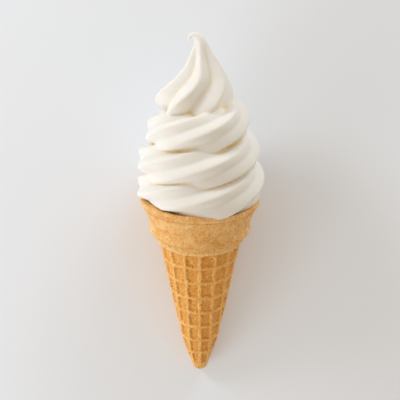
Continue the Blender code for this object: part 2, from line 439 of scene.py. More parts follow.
def turned_faces(rings: int, columns: int) -> list[tuple[int, ...]]:
    """Return the faces between rings of points, with one face over each end.

    Args:
        rings: how many rings, in order up the outside of the piece.
        columns: how many points each ring has.

    Returns:
        The faces, which point outwards.
    """
    faces: list[tuple[int, ...]] = []
    last = (rings - 1) * columns
    for low in range(0, last, columns):
        for column in range(columns):
            beside = (column + 1) % columns
            faces.append((low + column, low + beside, low + columns + beside, low + columns + column))
    faces.append(tuple(reversed(range(columns))))
    faces.append(tuple(range(last, last + columns)))
    return faces


def turned_points(sizes: Iterable[Point], columns: int) -> np.ndarray:
    """Return rings of points about the cone's axis.

    Args:
        sizes: radius and height of each ring.
        columns: how many points each ring has.

    Returns:
        The points, ring after ring.
    """
    turn = np.arange(columns) * math.tau / columns
    rows = [np.stack([r * np.cos(turn), r * np.sin(turn), np.full(columns, z)], axis=1) for r, z in sizes]
    return np.concatenate(rows)


@dataclass(frozen=True)
class ConeOutline:
    """Outline of the moulded wafer: heights from the cup's lip, and outer radii."""

    rim_height: float = 1.5 * MM
    rim_radius: float = 28.9 * MM
    wall: float = 2.3 * MM
    tip_centre: float = -91.5 * MM
    tip_radius: float = 4.2 * MM
    band_radius: float = 21.2 * MM
    band_top: float = -16.5 * MM
    band_bottom: float = -19.7 * MM
    taper_top: float = -20.6 * MM
    taper_radius: float = 20.2 * MM
    taper_slope: float = 0.197
    knee_height: float = -75.4 * MM
    knee_slope: float = 0.292
    # Places on the taper, one of which touches the floor first at any slope near the true one
    resting_heights: tuple[float, ...] = (-72.25 * MM, -74.35 * MM, -81.25 * MM)

    def taper(self, height: float) -> float:
        """Outer radius over the ribs of the waffled taper, which narrows faster below a knee.

        Args:
            height: where on the taper.

        Returns:
            The radius there.
        """
        beyond = max(self.knee_height - height, 0.0)
        straight = self.taper_radius + self.taper_slope * (height - self.taper_top)
        return straight - (self.knee_slope - self.taper_slope) * beyond

    def depth(self, tilt: float) -> float:
        """How far the back of the taper reaches below the origin when the axis has a slope."""
        return max(self.taper(z) * math.cos(tilt) - z * math.sin(tilt) for z in self.resting_heights)


@dataclass(frozen=True)
class Lie:
    """How the upright model is laid down on the floor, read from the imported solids."""

    outline: ConeOutline
    flat_depth: float = 1.1 * MM
    rim_edge: float = 0.5 * MM
    steepest: float = math.radians(40.0)
    halvings: int = 40

    @property
    def tilt(self) -> float:
        """Find the slope of the cone's axis from how high the front of the rim stands.

        Returns:
            The angle between the axis and the floor.
        """
        shape = self.outline
        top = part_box(Node.WAFER_CONE.value)[1][2]
        low, high = 0.0, self.steepest
        for _ in range(self.halvings):
            middle = (low + high) / 2
            front = shape.rim_radius * math.cos(middle)
            front += (shape.rim_height - self.rim_edge) * math.sin(middle)
            if front + shape.depth(middle) - self.flat_depth < top:
                low = middle
            else:
                high = middle
        return (low + high) / 2

    @property
    def origin(self) -> Vector:
        """Find where the upright model's origin comes when it lies on the floor.

        Returns:
            Its place.
        """
        shape = self.outline
        low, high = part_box(Node.WAFER_CONE.value)
        sideways = (low[0] + high[0]) / 2
        lengthways = low[1] + shape.tip_radius - shape.tip_centre * math.cos(self.tilt)
        upwards = shape.depth(self.tilt) - self.flat_depth
        return Vector((sideways, lengthways, upwards))

    @property
    def matrix(self) -> Matrix:
        """Move that takes upright places to lying ones."""
        return Matrix.Translation(self.origin) @ Matrix.Rotation(self.tilt - math.pi / 2, 4, "X")

    def lay(self, mesh: bpy.types.Mesh) -> None:
        """Lay a mesh down and press flat what would go through the floor.

        Args:
            mesh: an upright mesh.
        """
        mesh.transform(self.matrix)
        points = points_of(mesh)
        points[:, 2] = np.maximum(points[:, 2], 0.0)
        set_points(mesh, points)


def shaded(name: str, settings: dict[str, Any]) -> tuple[bpy.types.Material, bpy.types.Node]:
    """Start a material on Blender's principled shader.

    Args:
        name: what it is made of, and how.
        settings: values for the shader's own sockets.

    Returns:
        The material and its shader.
    """
    material = bpy.data.materials.new(name)
    material.use_nodes = True
    shader = material.node_tree.nodes["Principled BSDF"]
    for socket, value in settings.items():
        shader.inputs[socket].default_value = value
    return material, shader


@dataclass(frozen=True)
class Grain:
    """Size of a noise's features, how much finer detail they carry, and where the noise is read."""

    name: str
    size: float
    detail: float
    roughness: float = 0.5
    shift: float = 0.0


@dataclass(frozen=True)
class Layer:
    """A colour laid over others where a grain or a mark on the points says so.

    None of it shows at the first value of the grain or mark, and most of it at the second.
    """

    source: str
    none_at: float
    most_at: float
    most: float
    colour: str


@dataclass(frozen=True)
class CreamFinish:
    """Churned vanilla ice cream, extruded soft through a star nozzle.

    It is a pale, satin solid that light enters a few millimetres deep, so thin crests stay
    bright and there is no sharp highlight. A warm glow in the creases is painted into its colour.
    """

    name: str = "churned vanilla soft serve, piped"
    face: str = "#F3F0EA"
    # Colour of the painted warm glow in the creases
    painted_crease_glow: str = "#F8D680"
    roughness: float = 0.5
    ior: float = 1.35
    light_within: float = 0.5
    depth_of_light: float = 1.7 * MM
    # Red goes deepest into milk fat and blue least, which warms the shaded side of a crest
    depth_by_colour: tuple[float, float, float] = (1.0, 0.75, 0.45)
    # Ice crystals are about 0.05 mm, too fine to show, so their grain is drawn as coarse as this
    crystals: Grain = Grain("crystals", 0.9 * MM, 2.0, 0.55)
    # Slow ripples that the nozzle's flow leaves
    ripples: Grain = Grain("ripples", 2.6 * MM, 3.0)
    relief: float = 0.2 * MM
    relief_strength: float = 0.22

    def make(self) -> bpy.types.Material:
        """Make the material.

        Returns:
            A pale solid with light within, with a painted warm glow where its points are marked as lying in
            a crease.
        """
        material, shader = shaded(self.name, {
            "Roughness": self.roughness, "IOR": self.ior, "Subsurface Weight": self.light_within,
            "Subsurface Radius": self.depth_by_colour, "Subsurface Scale": self.depth_of_light})
        tree = material.node_tree
        place = add_node(tree, "ShaderNodeTexCoord").outputs["Object"]
        crystals, ripples = (add_node(tree, "ShaderNodeTexNoise", {
            "Vector": place, "Scale": 1.0 / grain.size, "Detail": grain.detail,
            "Roughness": grain.roughness}).outputs[0] for grain in (self.crystals, self.ripples))
        height = add_node(tree, "ShaderNodeMath", {0: crystals, 1: ripples}, operation="ADD")
        bump = add_node(tree, "ShaderNodeBump", {
            "Height": height.outputs[0], "Strength": self.relief_strength, "Distance": self.relief})
        # Painted warm glow: points deep in a crease are coloured warmer, standing in for gathered light
        painted_crease_glow = add_node(tree, "ShaderNodeAttribute", attribute_name="painted_crease_glow")
        colour = add_node(tree, "ShaderNodeMixRGB", {
            "Fac": painted_crease_glow.outputs["Fac"], "Color1": linear(self.face), "Color2": linear(self.painted_crease_glow)})
        tree.links.new(colour.outputs[0], shader.inputs["Base Color"])
        tree.links.new(bump.outputs["Normal"], shader.inputs["Normal"])
        return material


@dataclass(frozen=True)
class WaferFinish:
    """Thin batter baked dry between irons.

    It is matt, finely pored and dusted with flour, and the colour wanders a little over a few
    millimetres. The ribs are paler and the cells browner and more saturated, which is painted shade
    in the recesses; the band is paler, partly painted light; and shade is painted under the
    shoulder, under the lip and at the feet of the ribs.
    """

    name: str = "baked wafer, moulded between irons"
    golden: str = "#E9A74D"
    # Over golden batter: paler patches, browner cells (painted shade), pale ribs, a pale band
    # (partly painted light), painted shade under the shoulder and lip and at the rib feet, a dust of
    # flour, and pores, which look burnt inside
    layers: tuple[Layer, ...] = (
        Layer("patches", 0.36, 0.64, 1.0, "#FACC86"),
        # Browner, more saturated cells: painted shade and bounced light in the recesses
        Layer("cell", 0.0, 1.0, 0.75, "#E69A1A"),
        Layer("rib", 0.0, 1.0, 0.7, "#FABC5A"),
        # The band's paler colour is partly painted light, where it faces the lamps
        Layer("band", 0.0, 1.0, 0.8, "#FFD283"),
        # Brown of the painted shade under the shoulder and lip and at the feet of the ribs
        Layer("painted_shade", 0.0, 1.0, 0.75, "#BE640C"),
        Layer("flour", 0.50, 0.64, 0.6, "#FFE0A8"),
        Layer("pores", 0.50, 0.34, 0.6, "#BE640C"),
    )
    # Flour and pores are 0.1 to 0.3 mm, too fine to show, so both are drawn as coarse as this
    grains: tuple[Grain, ...] = (
        Grain("patches", 4.5 * MM, 4.0, 0.6),
        Grain("flour", 1.0 * MM, 4.0, 0.75),
        Grain("pores", 1.1 * MM, 5.0, 0.75),
    )
    marks: tuple[str, ...] = ("cell", "rib", "band", "painted_shade")
    roughness: float = 0.8
    # Loose flour catches the light at a glancing angle, and the dry crust hardly shines
    sheen: float = 0.12
    sheen_roughness: float = 0.5
    shine: float = 0.3
    light_within: float = 0.1
    depth_of_light: float = 1.2 * MM
    depth_by_colour: tuple[float, float, float] = (1.0, 0.5, 0.2)
    relief: float = 0.3 * MM
    relief_strength: float = 0.6

    def make(self) -> bpy.types.Material:
        """Make the material.

        Returns:
            A matt crust, coloured by its grains and by the marks on its points.
        """
        material, shader = shaded(self.name, {
            "Roughness": self.roughness, "Sheen Weight": self.sheen, "Sheen Roughness": self.sheen_roughness,
            "Specular IOR Level": self.shine, "Subsurface Weight": self.light_within,
            "Subsurface Radius": self.depth_by_colour, "Subsurface Scale": self.depth_of_light})
        tree = material.node_tree
        place = add_node(tree, "ShaderNodeTexCoord").outputs["Object"]
        sources: dict[str, bpy.types.NodeSocket] = {}
        for grain in self.grains:
            sources[grain.name] = add_node(tree, "ShaderNodeTexNoise", {
                "Vector": place, "Scale": 1.0 / grain.size, "Detail": grain.detail,
                "Roughness": grain.roughness}).outputs[0]
        for mark in self.marks:
            sources[mark] = add_node(tree, "ShaderNodeAttribute", attribute_name=mark).outputs["Fac"]
        colour: Any = linear(self.golden)
        for layer in self.layers:
            share = add_node(tree, "ShaderNodeMapRange", {
                "Value": sources[layer.source], "From Min": layer.none_at, "From Max": layer.most_at,
                "To Max": layer.most})
            colour = add_node(tree, "ShaderNodeMixRGB", {
                "Fac": share.outputs[0], "Color1": colour, "Color2": linear(layer.colour)}).outputs[0]
        height = add_node(tree, "ShaderNodeMath", {0: sources["flour"], 1: sources["pores"]},
                          operation="ADD")
        bump = add_node(tree, "ShaderNodeBump", {
            "Height": height.outputs[0], "Strength": self.relief_strength, "Distance": self.relief})
        tree.links.new(colour, shader.inputs["Base Color"])
        tree.links.new(bump.outputs["Normal"], shader.inputs["Normal"])
        return material


@dataclass(frozen=True)
class BoardFinish:
    """Card with matt white paint rolled on, which spreads soft light with no shine."""

    name: str = "white board, matt painted"
    paint: str = "#F2F7FF"
    roughness: float = 0.9

    def make(self) -> bpy.types.Material:
        """Make the material."""
        return shaded(self.name, {"Base Color": linear(self.paint), "Roughness": self.roughness})[0]


@dataclass
class SoftServe:
    """Ice cream piped as one six-lobed strand in a rising coil, ended in a drawn and hooked peak.

    Turns and bearings are angles about the cone's axis. They grow from one coil to the next, and
    the front is at 270 degrees and every full turn from there.
    """

    finish: CreamFinish = CreamFinish()

    # The nozzle's star, and the strand that it lays
    lobes: int = 6
    lobe_depth: float = 0.21
    crest_sharpness: float = 0.975
    strand_wide: float = 10.6 * MM
    strand_high: float = 10.1 * MM
    strand_rows: int = 700
    columns: int = 120
    seam: float = 0.002 * MM
    # The coil: where it runs, how it rises and narrows, and how it leans and slopes
    coil_start: float = math.radians(20.0)
    coil_widest: float = math.radians(360.0)
    coil_end: float = math.radians(1345.0)
    first_height: float = 12.4 * MM
    coil_pitch: float = 13.46 * MM
    pitch_growth: float = 0.33 * MM
    coil_radius: float = 31.2 * MM
    narrowing: float = 15.1 * MM
    narrowing_coils: float = 3.0
    narrowing_shape: float = 1.53
    coil_slope: float = 0.064
    low_bearing: float = math.radians(3.0)
    lean: float = 0.76 * MM
    lean_coils: float = 2.0
    lean_bearing: float = math.radians(276.0)
    # The start of the strand, low in the cup and flattened from below
    start_inset: float = 5.0 * MM
    start_eased: float = math.radians(200.0)
    start_rounded: float = 0.35
    start_lift: float = 0.20
    lift_bearing: float = math.radians(250.0)
    sag_bearing: float = math.radians(300.0)
    # The side it lies on, where the first coil is widened to reach the floor
    back_bulge: float = 2.8 * MM
    bulge_spread: float = math.radians(75.0)
    # Where the first coil tucks into the cup, and where it droops over the rim: turns at which
    # each sets in, is full, starts to end and is gone
    tuck: float = 2.0 * MM
    tuck_turns: tuple[float, ...] = tuple(map(math.radians, (180.0, 205.0, 222.0, 238.0)))
    droop: float = 2.4 * MM
    droop_turns: tuple[float, ...] = tuple(map(math.radians, (225.0, 290.0, 430.0, 520.0)))
    droop_from: float = 2.0 * MM
    droop_to: float = 7.0 * MM
    # How the lobes roll round the strand as it is laid, and how it thins out under the peak
    roll: float = math.radians(34.8)
    roll_rate: float = -2.95 / 360.0
    roll_swing: float = math.radians(12.7)
    roll_bearing: float = math.radians(71.0)
    end_fade: float = math.radians(160.0)
    end_size: float = 0.001

    # Peak: sideways place, height and radius up the middle of the drawn-off strand
    peak: tuple[tuple[float, float, float], ...] = (
        (-2.6 * MM, 42.5 * MM, 11.5 * MM),
        (-2.8 * MM, 45.5 * MM, 16.6 * MM),
        (-2.6 * MM, 49.5 * MM, 18.2 * MM),
        (-1.6 * MM, 54.0 * MM, 17.2 * MM),
        (0.0 * MM, 58.6 * MM, 14.2 * MM),
        (1.1 * MM, 63.1 * MM, 10.6 * MM),
        (1.0 * MM, 67.6 * MM, 7.4 * MM),
        (0.6 * MM, 72.1 * MM, 4.9 * MM),
        (0.1 * MM, 75.2 * MM, 3.4 * MM),
        (-0.8 * MM, 77.3 * MM, 2.3 * MM),
        (-2.3 * MM, 78.5 * MM, 1.5 * MM),
        (-3.9 * MM, 78.4 * MM, 1.1 * MM),
        (-4.9 * MM, 77.2 * MM, 0.85 * MM),
        (-4.7 * MM, 76.0 * MM, 0.55 * MM),
    )
    # How the peak's lobes twist at its foot and are lost towards the hook, and how its two ends
    # are rounded off, as shares of its length and of its size
    peak_rows: int = 260
    path_steps: int = 12
    peak_lobe_depth: float = 0.31
    peak_phase: float = math.radians(24.0)
    peak_twist: float = math.radians(39.0)
    twist_shape: float = 1.45
    twist_foot: float = 45.0 * MM
    twist_end: float = 62.0 * MM
    peak_uneven: float = 0.01
    uneven_bearing: float = math.radians(158.0)
    lobes_lost: float = 0.7
    lobes_lost_from: float = 69.0 * MM
    lobes_lost_to: float = 79.0 * MM
    hook_foot: float = 69.0 * MM
    hook_top: float = 75.0 * MM
    curl_share: float = 0.7
    foot_rounded: float = 0.02
    hook_rounded: float = 0.985
    hook_end_size: float = 0.02

    # Radius and height of the ice cream in the middle of the coils
    core: tuple[Point, ...] = (
        (23.0 * MM, -9.0 * MM),
        (24.6 * MM, -4.5 * MM),
        (25.4 * MM, -2.2 * MM),
        (24.0 * MM, -0.4 * MM),
        (21.5 * MM, 2.0 * MM),
        (20.0 * MM, 14.0 * MM),
        (16.5 * MM, 30.0 * MM),
        (14.5 * MM, 40.0 * MM),
        (11.0 * MM, 50.0 * MM),
    )
    core_columns: int = 64

    # The skin over all of it, its creases, and its slight unevenness in waves of a few millimetres
    voxel: float = 0.50 * MM
    crease_reach: int = 60
    crease_smoothing: int = 3
    crease_from: float = 0.25 * MM
    crease_depth: float = 0.8 * MM
    wave_lengths: tuple[float, ...] = (14.0, 9.0, 6.0, 4.0)
    waves_each: int = 5
    wave_phases: float = 6.3
    wave_sum: float = 2.2
    wander: float = 0.1 * MM
    seed: int = 7

    def star(self, shape: ShapeTree, angle: Term, depth: Term | float) -> Term:
        """Work out the radius of the nozzle's star at an angle.

        Args:
            shape: tree that does the sums.
            angle: angle from a crest.
            depth: how deep the grooves are, as a share.

        Returns:
            A share of the whole radius: 1 on a crest and less in a groove.
        """
        sharp = shape.size("Crest Sharpness", self.crest_sharpness)
        wave = (sharp * (angle * shape.size("Lobes", float(self.lobes))).sum("COSINE")).sum("ARCSINE")
        return 1.0 - depth * (0.5 - 0.5 * wave / sharp.sum("ARCSINE"))

    def grid(self, shape: ShapeTree, rows: int) -> tuple[bpy.types.NodeSocket, Term, Term]:
        """Add a flat grid to be bent into a tube.

        Args:
            shape: tree that gets the grid.
            rows: how many rows of points the tube has along it.

        Returns:
            The grid, and each point's share along and around it.
        """
        grid = shape.add("GeometryNodeMeshGrid", {
            "Size X": 1.0, "Size Y": 1.0, "Vertices X": rows, "Vertices Y": self.columns + 1})
        apart = shape.add("ShaderNodeSeparateXYZ", {0: shape.add("GeometryNodeInputPosition").outputs[0]})
        along = shape.term(apart.outputs["X"]) + 0.5
        around = shape.term(apart.outputs["Y"]) + 0.5
        return grid.outputs["Mesh"], along, around

    def bend(self, shape: ShapeTree, grid: bpy.types.NodeSocket, place: tuple[Term, Term, Term],
             material: bpy.types.Material) -> None:
        """Move a grid's points to their places, close the tube and end the tree.

        Args:
            shape: tree that holds the grid.
            grid: the flat grid.
            place: x, y and z of each point.
            material: what the tube is made of.
        """
        spot = shape.add("ShaderNodeCombineXYZ", dict(enumerate(place)))
        bent = shape.add("GeometryNodeSetPosition", {"Geometry": grid, "Position": spot.outputs[0]})
        closed = shape.add("GeometryNodeMergeByDistance", {
            "Geometry": bent.outputs[0], "Distance": self.seam})
        shape.finish(closed.outputs[0], material)

    def coil(self, shape: ShapeTree, turn: Term, start: Term, widest: Term) -> tuple[Term, Term]:
        """Work out where the middle of the strand runs.

        Args:
            shape: tree that does the sums.
            turn: how far round each point is.
            start: turn at which the strand starts.
            widest: turn from which the coil narrows.

        Returns:
            How far from the axis and how high the middle of the strand is.
        """
        coils = (turn - widest) / math.tau
        risen = coils.sum("MAXIMUM", 0.0)
        reach = (shape.size("Coil Radius", self.coil_radius)
                 - shape.size("Narrowing", self.narrowing)
                 * (risen / self.narrowing_coils) ** shape.size("Narrowing Shape", self.narrowing_shape))
        reach = reach + (shape.size("Lean", self.lean) * risen.sum("MINIMUM", self.lean_coils)
                         * (turn - shape.size("Lean Bearing", self.lean_bearing)).sum("COSINE"))
        inset = 1.0 - turn.eased(start, shape.size("Start Eased", self.start_eased))
        reach = reach - inset * shape.size("Start Inset", self.start_inset)
        behind = (turn - widest - math.pi / 2).sum("ABSOLUTE")
        bulge = shape.size("Back Bulge", self.back_bulge)
        reach = reach + (1.0 - behind.eased(0.0, self.bulge_spread)) * bulge
        middle = reach - self.strand_wide
        height = (shape.size("First Height", self.first_height)
                  + shape.size("Coil Pitch", self.coil_pitch) * coils
                  + shape.size("Pitch Growth", self.pitch_growth) * risen * risen
                  - shape.size("Coil Slope", self.coil_slope) * middle
                  * (turn - shape.size("Low Bearing", self.low_bearing)).sum("COSINE"))
        return middle, height

    def strand(self, material: bpy.types.Material) -> bpy.types.Mesh:
        """Lay the strand. The nozzle never turns, so the lobes roll once round it with each coil.

        Args:
            material: the ice cream.

        Returns:
            The strand as a closed tube.
        """
        shape = ShapeTree("strand laid by the nozzle")
        grid, along, around = self.grid(shape, self.strand_rows)
        start = shape.size("Start Turn", self.coil_start)
        end = shape.size("End Turn", self.coil_end)
        widest = shape.size("Widest Turn", self.coil_widest)
        turn = start + along * (end - start)
        middle, height = self.coil(shape, turn, start, widest)
        roll = (shape.size("Roll", self.roll) + shape.size("Roll Rate", self.roll_rate) * (turn - widest)
                + shape.size("Roll Swing", self.roll_swing)
                * (turn - shape.size("Roll Bearing", self.roll_bearing)).sum("COSINE"))
        angle = around * math.tau
        size = self.star(shape, angle - turn + roll, shape.size("Lobe Depth", self.lobe_depth))
        fade = shape.size("End Fade", self.end_fade)
        size = (size * (1.0 - (1.0 - self.end_size) * turn.eased(end - fade, end))
                * (self.end_size + turn.eased(start, start + self.start_rounded)))
        lift = 1.0 - shape.size("Start Lift", self.start_lift) * (1.0 - turn.eased(
            shape.size("Lift Bearing", self.lift_bearing), shape.size("Sag Bearing", self.sag_bearing)))
        rise = size * angle.sum("SINE") * shape.size("Strand Height", self.strand_high)
        below = (rise * -1.0).eased(self.droop_from, self.droop_to)
        droop = shape.size("Droop", self.droop) * turn.hump(*self.droop_turns) * below
        low = rise.sum("MINIMUM", 0.0) * lift + rise.sum("MAXIMUM", 0.0) - droop
        wide = shape.size("Strand Width", self.strand_wide)
        tucked = turn.hump(*self.tuck_turns) * below
        out = middle + wide * size * angle.sum("COSINE") - shape.size("Tuck", self.tuck) * tucked
        self.bend(shape, grid, (out * turn.sum("COSINE"), out * turn.sum("SINE"), height + low), material)
        return shape.run("strand")

    def peak_path(self) -> list[tuple[float, float, float, float]]:
        """Work out the line up the middle of the peak.

        Returns:
            Sideways place, height, radius and lean of the section at each point of the line.
        """
        path = through(self.peak, self.path_steps)
        points = []
        for index, (side, height, radius) in enumerate(path):
            before, after = path[max(index - 1, 0)], path[min(index + 1, len(path) - 1)]
            slope = math.atan2(after.x - before.x, after.y - before.y)
            bent = min(max((height - self.hook_foot) / (self.hook_top - self.hook_foot), 0.0), 1.0)
            beyond = index > len(path) * self.curl_share
            points.append((side, height, radius, slope * (1.0 if beyond else bent)))
        return points

    def peak_cap(self, material: bpy.types.Material) -> bpy.types.Mesh:
        """Draw off the peak: a lobed drop that narrows to a curled hook.

        Its path goes into the tree as a line of points that carry the radius and the lean.

        Args:
            material: the ice cream.

        Returns:
            The peak as a closed tube.
        """
        shape = ShapeTree("peak drawn off the nozzle")
        rows = self.peak_path()
        first = shape.size("Path Points", float(len(rows)))
        grid, along, around = self.grid(shape, self.peak_rows)
        line = shape.entry.outputs["Geometry"]
        number = along * (first - 1.0)
        found: list[Term] = []
        for name in ("side", "height", "radius", "lean"):
            value = shape.add("GeometryNodeInputNamedAttribute", {"Name": name}, data_type="FLOAT")
            pair = []
            for rounding in ("FLOOR", "CEIL"):
                sample = shape.add("GeometryNodeSampleIndex", {
                    "Geometry": line, "Value": value.outputs["Attribute"], "Index": number.sum(rounding)},
                    data_type="FLOAT", domain="POINT", clamp=True)
                pair.append(shape.term(sample.outputs["Value"]))
            share = number - number.sum("FLOOR")
            found.append(pair[0] + (pair[1] - pair[0]) * share)
        side, height, radius, lean = found
        foot = shape.size("Twist Foot", self.twist_foot)
        end = shape.size("Twist End", self.twist_end)
        unwound = (end - height).sum("MAXIMUM", 0.0) / (end - foot)
        unwound = unwound ** shape.size("Twist Shape", self.twist_shape)
        phase = shape.size("Phase", self.peak_phase) - shape.size("Twist", self.peak_twist) * unwound
        lost = shape.size("Lobes Lost", self.lobes_lost) * height.eased(
            self.lobes_lost_from, self.lobes_lost_to)
        depth = shape.size("Lobe Depth", self.peak_lobe_depth) * (1.0 - lost)
        angle = around * math.tau
        uneven = shape.size("Uneven Lobes", self.peak_uneven) * (angle - self.uneven_bearing).sum("COSINE")
        size = radius * self.star(shape, angle - phase + uneven, depth)
        size = (size * along.eased(-self.foot_rounded, self.foot_rounded)
                * (1.0 - (1.0 - self.hook_end_size) * along.eased(self.hook_rounded, 1.0)))
        out = size * angle.sum("COSINE")
        across = size * angle.sum("SINE")
        self.bend(shape, grid, (side + out * lean.sum("COSINE"), across, height - out * lean.sum("SINE")),
                  material)
        start = mesh_from("peak path", np.zeros((len(rows), 3)), [])
        for place, name in enumerate(("side", "height", "radius", "lean")):
            store(start, name, np.array([row[place] for row in rows]))
        return shape.run("peak", start)

    def build(self, lie: Lie) -> bpy.types.Object:
        """Build, relieve, lay down and dress the ice cream.

        Args:
            lie: how the whole lies on the floor.

        Returns:
            The finished piece.
        """
        material = self.finish.make()
        parts = [self.strand(material), self.peak_cap(material), self.middle()]
        mesh = remeshed(joined("soft serve", parts), self.voxel)
        set_points(mesh, neighbour_mean(mesh, points_of(mesh), 1))
        self.mark_creases(mesh)
        self.relieve(mesh)
        lie.lay(mesh)
        return dressed("soft_serve_swirl", mesh, material)

    def middle(self) -> bpy.types.Mesh:
        """Fill the middle of the coils."""
        faces = turned_faces(len(self.core), self.core_columns)
        return mesh_from("middle", turned_points(self.core, self.core_columns), faces)

    def mark_creases(self, mesh: bpy.types.Mesh) -> None:
        """Store how deep each point lies in a crease, which sets how much painted warm glow it gets.

        Args:
            mesh: the skin, upright.
        """
        points = points_of(mesh)
        level = neighbour_mean(mesh, points, self.crease_reach)
        depth = ((level - points) * normals_of(mesh)).sum(axis=1)
        depth = neighbour_mean(mesh, depth[:, None], self.crease_smoothing)[:, 0]
        store(mesh, "painted_crease_glow", np.clip((depth - self.crease_from) / self.crease_depth, 0.0, 1.0))

    def relieve(self, mesh: bpy.types.Mesh) -> None:
        """Give the faces the slight unevenness of soft ice cream.

        Args:
            mesh: the skin, upright.
        """
        points = points_of(mesh)
        waves = np.zeros(len(points))
        rng = np.random.default_rng(self.seed)
        for length in self.wave_lengths:
            for _ in range(self.waves_each):
                direction = rng.normal(size=3)
                direction /= np.linalg.norm(direction)
                phase = points @ direction * math.tau / (length * MM) + rng.uniform(0, self.wave_phases)
                waves += length / sum(self.wave_lengths) * np.sin(phase)
        set_points(mesh, points + normals_of(mesh) * (self.wander * waves / self.wave_sum)[:, None])


def joined(name: str, meshes: Sequence[bpy.types.Mesh]) -> bpy.types.Mesh:
    """Join meshes into one, each as it is.

    Args:
        name: name for the whole.
        meshes: the parts.

    Returns:
        The joined mesh.
    """
    points, faces, first = [], [], 0
    for mesh in meshes:
        points.append(points_of(mesh))
        faces.extend(tuple(first + v for v in polygon.vertices) for polygon in mesh.polygons)
        first += len(mesh.vertices)
    return mesh_from(name, np.concatenate(points), faces)


def dressed(name: str, mesh: bpy.types.Mesh, material: bpy.types.Material) -> bpy.types.Object:
    """Show a finished mesh in its material, with its place in the mesh.

    Args:
        name: name for the object and its mesh.
        mesh: the finished mesh.
        material: what it is made of.

    Returns:
        The finished piece.
    """
    mesh.name = name
    mesh.materials.clear()
    mesh.materials.append(material)
    mesh.shade_smooth()
    return linked(name, mesh)


